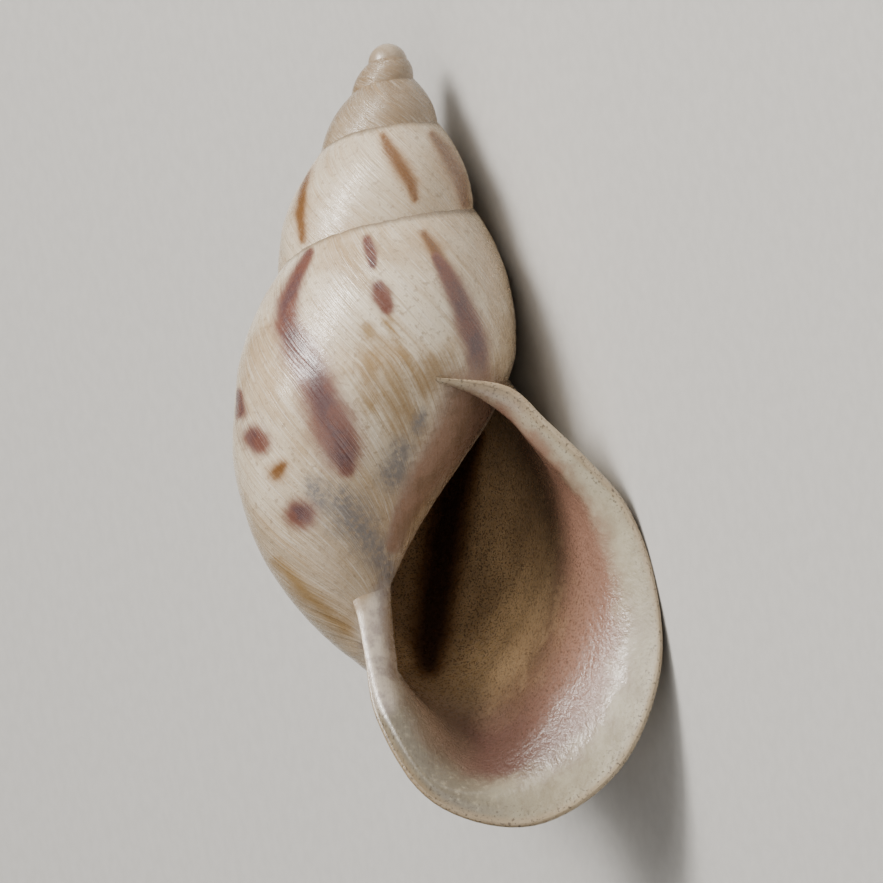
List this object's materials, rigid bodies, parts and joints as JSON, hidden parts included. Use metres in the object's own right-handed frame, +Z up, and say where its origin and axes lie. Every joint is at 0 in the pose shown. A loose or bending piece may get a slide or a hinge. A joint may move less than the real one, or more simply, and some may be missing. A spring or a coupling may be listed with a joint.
{
  "type": "tree snail shell",
  "caption": "Empty right-handed tree snail shell lying on its back: tall spire, large body whorl, wide flared mouth, ivory with brown streaks.",
  "frame": {"origin": "bottom centre of the bounding box of the shell as it lies on a flat surface", "axes": "+Z up from the surface it lies on, +X along the shell towards the apex, +Y to the left of that"},
  "size_m": [0.057, 0.026, 0.0211],
  "materials": {
    "shell": "gloss"
  },
  "bodies": {
    "root": {"shell": "shell"}
  },
  "joints": []
}
